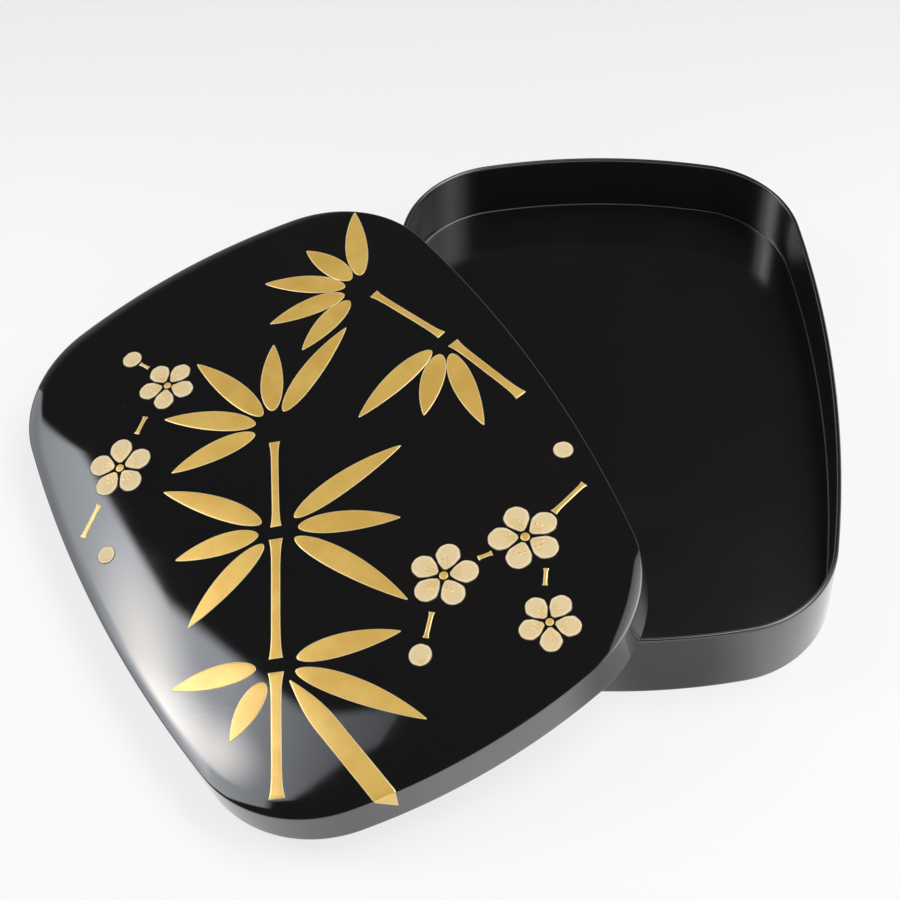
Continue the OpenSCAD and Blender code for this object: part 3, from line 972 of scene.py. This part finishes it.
class BOX_OT_leaf_over_ridge(Operator):
    """A gold leaf that runs over the ridge at the near end and ends on the side"""

    bl_idname = "writing_box.leaf_over_ridge"
    bl_label = "Leaf over the ridge"

    def execute(self, context):
        lid = context.scene.box_lid
        relief = Relief(context.scene)
        start, over_x = at_mm(-47, -74), -38 * MM
        half_over, tip, drop = 4.3 * MM, 0.3 * MM, 10 * MM
        end = relief.dome.end
        radius = end.radius + lid.overhang
        over = Vector((over_x, -end.centre.y - math.sqrt(radius ** 2 - over_x ** 2)))
        way = over - start
        run, turn = way.length, math.atan2(way.y, way.x)
        whole = run + drop

        def line(t):
            along = whole * t
            if along <= run:
                half = tip + (half_over - tip) * math.sin(min(math.pi / 2, math.radians(230) * along / run))
            else:
                half = half_over * (1.02 - (along - run) / drop)
            return along, 0.0, max(half, 0.1 * MM)

        def lay(x, y, height):
            """On the dome while it reaches, and from the ridge on down the side."""
            outward = (Vector((x, y)) + end.centre).normalized()
            beyond = (Vector((x, y)) + end.centre).length - radius
            if beyond < 0:
                return relief.on_dome(x, y, height)
            edge = -end.centre + outward * (radius + height)
            return Vector((edge.x, edge.y, lid.side - beyond + height * max(0.0, 1 - beyond / MM)))

        close = [place * MM for place in (-2, -1, -0.5, -0.25, -0.1, 0, 0.1, 0.25, 0.5, 1, 2)]
        on_top = [(run + close[0]) * (1 - math.cos(math.pi * step / 72)) for step in range(36)]
        on_side = [
            run + close[-1] + (drop - close[-1]) * math.sin(math.pi * step / 20) for step in range(1, 11)]
        shares = [place / whole for place in on_top + [run + place for place in close] + on_side]
        relief.shape(
            start, turn, whole, line, relief.sizes.gold_relief, rows=len(shares) - 1, lay=lay,
            shares=shares)
        material = finish_set(context.scene)["gold_powder"]
        relief.finish("leaf_over_ridge", material, "gold", "gold_leaf_over_ridge")
        return {"FINISHED"}


Blossom = namedtuple("Blossom", "heart turn size")


class BOX_OT_blossoms(Operator):
    """Plum blossoms and buds in raised cream, with gold hearts and stamens"""

    bl_idname = "writing_box.blossoms"
    bl_label = "Plum blossoms"

    near = (Blossom((56, -70), 10, 1.0), Blossom((22, -68), 50, 0.95), Blossom((46, -106), 28, 0.85))
    far = (Blossom((-64, 53), 62, 0.95), Blossom((-31, 78), 20, 0.85))
    # The size of a blossom is a share of the blossom radius, that of a bud is its radius in millimetres
    buds = (Blossom((-1, -92), 40, 4.5), Blossom((88, -42), 80, 4.0),
            Blossom((-38, 101), 110, 4.2), Blossom((-85, 20), 60, 3.8))

    # The gold in a blossom: shares of its radius, and the thickness of stamens and tips
    heart_size, stamen_start, tip_places, tip_size = 0.125, 0.20, (0.44, 0.53, 0.47), 0.046
    stamen_half_width, stamen_height, tip_height = 0.17 * MM, 0.10 * MM, 0.16 * MM

    def petals(self, relief, blossoms):
        for heart, turn, size in blossoms:
            radius = size * relief.sizes.blossom_radius
            for number in range(5):
                relief.petal(at_mm(*heart), math.radians(turn + 72 * number), radius)

    def hearts(self, relief, blossoms):
        """A gold button, and three stamens with their tips on each petal."""
        sizes = relief.sizes
        for heart, turn, size in blossoms:
            radius = size * sizes.blossom_radius
            middle = at_mm(*heart)
            relief.button(middle, 0.0, self.heart_size * radius, sizes.blossom_relief, rows=8)
            for number in range(15):
                own_turn = math.radians(turn + 72 * (number // 3) + 15 * (number % 3 - 1))
                far_out = self.tip_places[number % 3] * radius
                near_in = self.stamen_start * radius
                way = direction(own_turn)
                self.stamen(relief, middle + way * self.stamen_start * radius, own_turn, far_out - near_in)
                relief.button(
                    middle + way * far_out, 0.0, self.tip_size * radius, self.tip_height, rows=8,
                    ground=sizes.blossom_relief)

    def round_buds(self, relief, buds):
        for heart, turn, radius in buds:
            relief.button(
                at_mm(*heart), math.radians(turn), radius * MM, relief.sizes.blossom_relief, rows=18)

    def stamen(self, relief, at, turn, run):
        def line(t):
            return run * t, 0.0, self.stamen_half_width
        relief.shape(at, turn, run, line, self.stamen_height, rows=8, ground=relief.sizes.blossom_relief)

    def execute(self, context):
        finishes = finish_set(context.scene)
        for name, draw, blossoms, finish, slot, nodes in (
                ("near_petals", self.petals, self.near, "cream_lacquer", "cream", ["blossoms_near"]),
                ("far_petals", self.petals, self.far, "cream_lacquer", "cream", ["blossoms_far"]),
                ("near_stamens", self.hearts, self.near, "gold_powder", "gold", []),
                ("far_stamens", self.hearts, self.far, "gold_powder", "gold", []),
                ("buds", self.round_buds, self.buds, "cream_lacquer", "cream", ["plum_buds"])):
            relief = Relief(context.scene)
            draw(relief, blossoms)
            relief.finish(name, finishes[finish], slot, *nodes)
        return {"FINISHED"}


# The tall light's face, in metres to the right and up for each metre that it stands away from the lid
KEY_AWAY, KEY_FACING = 1.5, math.radians(158)
KEY_LEFT, KEY_RIGHT, KEY_LOW, KEY_HIGH = -0.34, 0.46, 0.42, 2.90
KEY_COLUMN = Spot((0.148, 1.19), (0.114, 0.61))
KEY_BAND = Spot((0.086, 0.964), (0.284, 0.197))
LID_MIDDLE = TRAY_MIDDLE + Vector((-0.112, -0.058, 0.0))
LID_CORNER = TRAY_MIDDLE + Vector((0.010, -0.125, 0.050))


class BOX_OT_stage(Operator):
    """White table, a tall soft light at the left, two round ones at the right, a white room, the camera"""

    bl_idname = "writing_box.stage"
    bl_label = "Stage"

    def execute(self, context):
        studio = context.scene.box_studio
        self.table(studio)
        self.key_light(studio)
        self.round_light(
            "high_soft_light", way=(1.1, 0.44, 2.2), facing=(0, 0, -1), radius=1.1,
            peak=studio.top_radiance, rest=0.9, full=0.5)
        self.round_light(
            "right_soft_light", way=(1.45, -0.48, 1.5), facing=(-1.45, 0.48, -1.5), radius=0.85,
            peak=studio.side_radiance, rest=0.0, full=0.0)
        self.room(studio)
        self.camera(context.scene, studio)
        return {"FINISHED"}

    def table(self, studio):
        bm = bmesh.new()
        bmesh.ops.create_grid(bm, x_segments=2, y_segments=2, size=6.0)
        mesh = bpy.data.meshes.new("table")
        bm.to_mesh(mesh)
        bm.free()
        mesh.materials.append(table_material(studio))
        table = bpy.data.objects.new("table", mesh)
        bpy.context.scene.collection.objects.link(table)
        table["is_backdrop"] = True

    def area_light(self, name, at, toward, size, shine):
        """A rectangular light facing a point. Its shine gives strength and tint over its face."""
        lamp = bpy.data.lights.new(name, "AREA")
        lamp.shape = "RECTANGLE"
        lamp.size, lamp.size_y = size
        lamp.energy = math.pi * size[0] * size[1]
        lamp.use_nodes = True
        tree = lamp.node_tree
        face = place_node(tree, "ShaderNodeNewGeometry").outputs["Parametric"]
        spot = place_node(tree, "ShaderNodeSeparateXYZ", {"Vector": face}).outputs
        emission = next(node for node in tree.nodes if node.type == "EMISSION")
        strength, tint = shine(tree, spot["X"], spot["Y"])
        tree.links.new(strength, emission.inputs["Strength"])
        if tint:
            tree.links.new(tint, emission.inputs["Color"])
        holder = bpy.data.objects.new(name, lamp)
        facing = (Vector(toward) - Vector(at)).to_track_quat("-Z", "Y")
        holder.matrix_world = Matrix.Translation(at) @ facing.to_matrix().to_4x4()
        holder.visible_camera = False
        bpy.context.scene.collection.objects.link(holder)

    def round_light(self, name, way, facing, radius, peak, rest, full):
        """A round light, placed as seen from the lid's right corner: even in its middle, then dimmer."""
        def shine(tree, across, up):
            off = off_centre(tree, across, up, Spot((0.5, 0.5), (0.5, 0.5)))
            fade = spread(tree, off, full, 1.0, peak, rest)
            return maths(tree, "MULTIPLY", fade, spread(tree, off, 0.97, 1.0, 1.0, 0.0)), None
        at = LID_CORNER + Vector(way)
        self.area_light(name, at, at + Vector(facing), (2 * radius, 2 * radius), shine)

    def key_light(self, studio):
        """The tall light at the left that the lid mirrors: brightest low in its middle, dimmer upwards."""
        foot = LID_MIDDLE + direction(KEY_FACING).to_3d() * KEY_AWAY
        aside = direction(KEY_FACING + math.pi / 2).to_3d()
        sideways = aside * KEY_AWAY * (KEY_LEFT + KEY_RIGHT) / 2
        centre = foot + sideways + Vector((0, 0, KEY_AWAY * (KEY_LOW + KEY_HIGH) / 2))
        fade_rate, foot_share = 0.86, 0.31

        def shine(tree, face_x, face_y):
            across = maths(tree, "MULTIPLY_ADD", face_x, KEY_RIGHT - KEY_LEFT, KEY_LEFT)
            up = maths(tree, "MULTIPLY_ADD", face_y, KEY_HIGH - KEY_LOW, KEY_LOW)
            below = maths(tree, "SUBTRACT", 1.0, up)
            fall = maths(tree, "EXPONENT", maths(tree, "MULTIPLY", below, fade_rate))
            foot_fall = spread(tree, up, 0.55, 0.98, foot_share, 1.0)
            body = maths(tree, "MULTIPLY", maths(tree, "MULTIPLY", fall, foot_fall), studio.key_radiance)
            column, band = (
                spread(tree, off_centre(tree, across, up, spot), 0.0, 1.0, 1.0, 0.0)
                for spot in (KEY_COLUMN, KEY_BAND))
            core = maths(
                tree, "ADD", maths(tree, "MULTIPLY", column, studio.key_column),
                maths(tree, "MULTIPLY", band, studio.key_band))
            tint = mixed(tree, maths(tree, "MAXIMUM", column, band), studio.key_cool, studio.key_warm)
            lit = maths(tree, "ADD", body, core)
            return maths(tree, "MULTIPLY", lit, self.key_outline(tree, across, up)), tint
        self.area_light(
            "tall_soft_light", centre, centre - direction(KEY_FACING).to_3d(),
            (KEY_AWAY * (KEY_RIGHT - KEY_LEFT), KEY_AWAY * (KEY_HIGH - KEY_LOW)), shine)

    def key_outline(self, tree, across, up):
        """The tall light's left side turns outwards low down and high up; its top slopes to the right."""
        low_turn, high_turn, top_low = 1.05, 2.0, 1.80
        below = maths(tree, "MAXIMUM", maths(tree, "SUBTRACT", low_turn, up), 0.0)
        above = maths(tree, "MAXIMUM", maths(tree, "SUBTRACT", up, high_turn), 0.0)
        outwards = maths(tree, "MULTIPLY_ADD", below, 0.55, across)
        from_left = maths(tree, "MULTIPLY_ADD", above, 0.16, outwards)
        left_side = spread(tree, from_left, -0.08, -0.04)
        slope = maths(tree, "MAXIMUM", maths(tree, "MULTIPLY_ADD", across, -3.05, 2.72), top_low)
        top_side = spread(tree, maths(tree, "SUBTRACT", up, slope), -0.08, 0.08, 1.0, 0.0)
        return maths(tree, "MULTIPLY", left_side, top_side)

    def room(self, studio):
        """A white room: bright low down and behind the camera, dark above and beyond the table."""
        world = bpy.data.worlds.new("white_room")
        world.use_nodes = True
        bpy.context.scene.world = world
        tree = world.node_tree
        sky = place_node(tree, "ShaderNodeTexCoord").outputs["Generated"]
        way = place_node(tree, "ShaderNodeSeparateXYZ", {"Vector": sky})
        low = spread(tree, way.outputs["Z"], 0.25, 0.50, 1.0, 0.03)
        wall = spread(tree, way.outputs["Z"], 0.40, 0.58, studio.room_radiance, 0.0)
        behind = maths(tree, "MULTIPLY", spread(tree, way.outputs["Y"], -0.40, -0.15, 1.0, 0.0), wall)
        background = next(node for node in tree.nodes if node.type == "BACKGROUND")
        background.inputs["Color"].default_value = (1.0, 1.0, 1.0, 1.0)
        tree.links.new(maths(tree, "MAXIMUM", low, behind), background.inputs["Strength"])

    def camera(self, scene, studio):
        lens = bpy.data.cameras.new("camera")
        lens.lens = studio.lens
        lens.sensor_width = 36.0
        lens.sensor_fit = "HORIZONTAL"
        lens.clip_start = 0.01
        lens.clip_end = 50.0
        turn = (
            Matrix.Rotation(studio.camera_yaw, 4, "Z")
            @ Matrix.Rotation(math.pi / 2 - studio.camera_pitch, 4, "X")
            @ Matrix.Rotation(studio.camera_roll, 4, "Z"))
        camera = bpy.data.objects.new("camera", lens)
        camera.matrix_world = Matrix.Translation(studio.camera_at) @ turn
        scene.collection.objects.link(camera)
        scene.camera = camera


class BOX_PT_panel(Panel):
    """Lists the steps that build the box"""

    bl_idname = "BOX_PT_panel"
    bl_label = "Writing box"
    bl_space_type = "VIEW_3D"
    bl_region_type = "UI"
    bl_category = "Writing Box"

    def draw(self, context):
        for step in STEPS:
            self.layout.operator(step.bl_idname, text=step.bl_label)


STEPS = (
    BOX_OT_stage, BOX_OT_tray_wall, BOX_OT_tray_floor, BOX_OT_tray_foot, BOX_OT_lid, BOX_OT_bamboo,
    BOX_OT_leaf_over_ridge, BOX_OT_blossoms)
SETTINGS = {
    "box_tray": TraySizes, "box_lid": LidSizes, "box_decoration": DecorationSizes,
    "box_finishes": Finishes, "box_studio": Studio}
CLASSES = (*SETTINGS.values(), *STEPS, BOX_PT_panel)


def register():
    for cls in CLASSES:
        bpy.utils.register_class(cls)
    for name, group in SETTINGS.items():
        setattr(bpy.types.Scene, name, PointerProperty(type=group))


def unregister():
    for name in SETTINGS:
        delattr(bpy.types.Scene, name)
    for cls in reversed(CLASSES):
        bpy.utils.unregister_class(cls)


def main():
    """Registers the add-on, builds everything in order and works out the two boxes' sizes."""
    register()
    bpy.context.scene.view_settings.view_transform = "Standard"
    for step in STEPS:
        family, name = step.bl_idname.split(".")
        getattr(getattr(bpy.ops, family), name)()
    boxes = {"cad": CAD_BOX, "visual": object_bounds()}
    sizes = {name: [[float(value) for value in corner] for corner in box] for name, box in boxes.items()}


if __name__ == "__main__":
    main()
